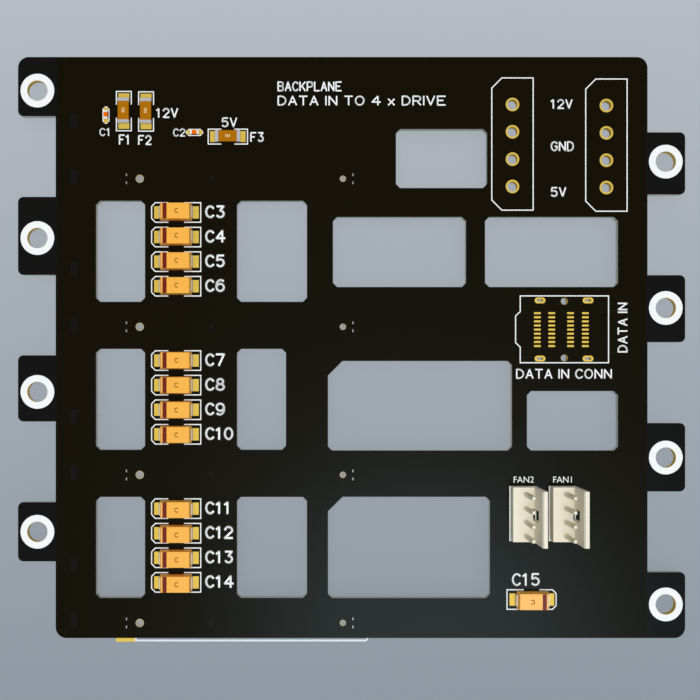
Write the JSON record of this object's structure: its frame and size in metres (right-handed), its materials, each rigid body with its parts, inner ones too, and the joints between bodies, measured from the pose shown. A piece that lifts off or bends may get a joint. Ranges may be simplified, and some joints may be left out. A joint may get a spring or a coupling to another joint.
{
  "type": "drive backplane board",
  "caption": "Black circuit board with side fixing tabs and air windows, drive sockets behind, capacitors, fuses and fan headers in front.",
  "frame": {"origin": "under the middle of the board's body, on the plane that the drive sockets' guide posts rest on", "axes": "+X along the drive sockets, from the capacitors to the power footprints; +Y across the socket rows, towards the power end; +Z out of the component side"},
  "size_m": [0.124, 0.109, 0.0214],
  "materials": {
    "board_laminate": "black solder mask, satin",
    "gold_plating": "immersion gold on copper",
    "capacitor_resin": "moulded resin, matt",
    "tinned_strip": "matt tin plate",
    "fuse_body": "satin coating",
    "ceramic_body": "fired, satin",
    "tinned_cap": "matt tin plate",
    "header_plastic": "moulded nylon, matt",
    "header_pin": "bright tin plate on brass",
    "socket_plastic": "moulded liquid crystal polymer, matt",
    "socket_contact": "gold plate"
  },
  "bodies": {
    "root": {"board": "board_laminate", "capacitor_10_case": "capacitor_resin", "capacitor_10_terminals": "tinned_strip", "capacitor_11_case": "capacitor_resin", "capacitor_11_terminals": "tinned_strip", "capacitor_12_case": "capacitor_resin", "capacitor_12_terminals": "tinned_strip", "capacitor_13_case": "capacitor_resin", "capacitor_13_terminals": "tinned_strip", "capacitor_14_case": "capacitor_resin", "capacitor_14_terminals": "tinned_strip", "capacitor_15_case": "capacitor_resin", "capacitor_15_terminals": "tinned_strip", "capacitor_3_case": "capacitor_resin", "capacitor_3_terminals": "tinned_strip", "capacitor_4_case": "capacitor_resin", "capacitor_4_terminals": "tinned_strip", "capacitor_5_case": "capacitor_resin", "capacitor_5_terminals": "tinned_strip", "capacitor_6_case": "capacitor_resin", "capacitor_6_terminals": "tinned_strip", "capacitor_7_case": "capacitor_resin", "capacitor_7_terminals": "tinned_strip", "capacitor_8_case": "capacitor_resin", "capacitor_8_terminals": "tinned_strip", "capacitor_9_case": "capacitor_resin", "capacitor_9_terminals": "tinned_strip", "capacitor_lands": "gold_plating", "ceramic_capacitor_1_body": "ceramic_body", "ceramic_capacitor_1_terminals": "tinned_cap", "ceramic_capacitor_2_body": "ceramic_body", "ceramic_capacitor_2_terminals": "tinned_cap", "ceramic_capacitor_lands": "gold_plating", "drive_socket_1_anchors": "gold_plating", "drive_socket_1_contacts": "socket_contact", "drive_socket_1_housing": "socket_plastic", "drive_socket_2_anchors": "gold_plating", "drive_socket_2_contacts": "socket_contact", "drive_socket_2_housing": "socket_plastic", "drive_socket_3_anchors": "gold_plating", "drive_socket_3_contacts": "socket_contact", "drive_socket_3_housing": "socket_plastic", "drive_socket_4_anchors": "gold_plating", "drive_socket_4_contacts": "socket_contact", "drive_socket_4_housing": "socket_plastic", "fan_header_1_housing": "header_plastic", "fan_header_1_pins": "header_pin", "fan_header_2_housing": "header_plastic", "fan_header_2_pins": "header_pin", "fuse_1_body": "fuse_body", "fuse_1_terminals": "tinned_cap", "fuse_2_body": "fuse_body", "fuse_2_terminals": "tinned_cap", "fuse_3_body": "fuse_body", "fuse_3_terminals": "tinned_cap", "fuse_lands": "gold_plating"}
  },
  "joints": []
}
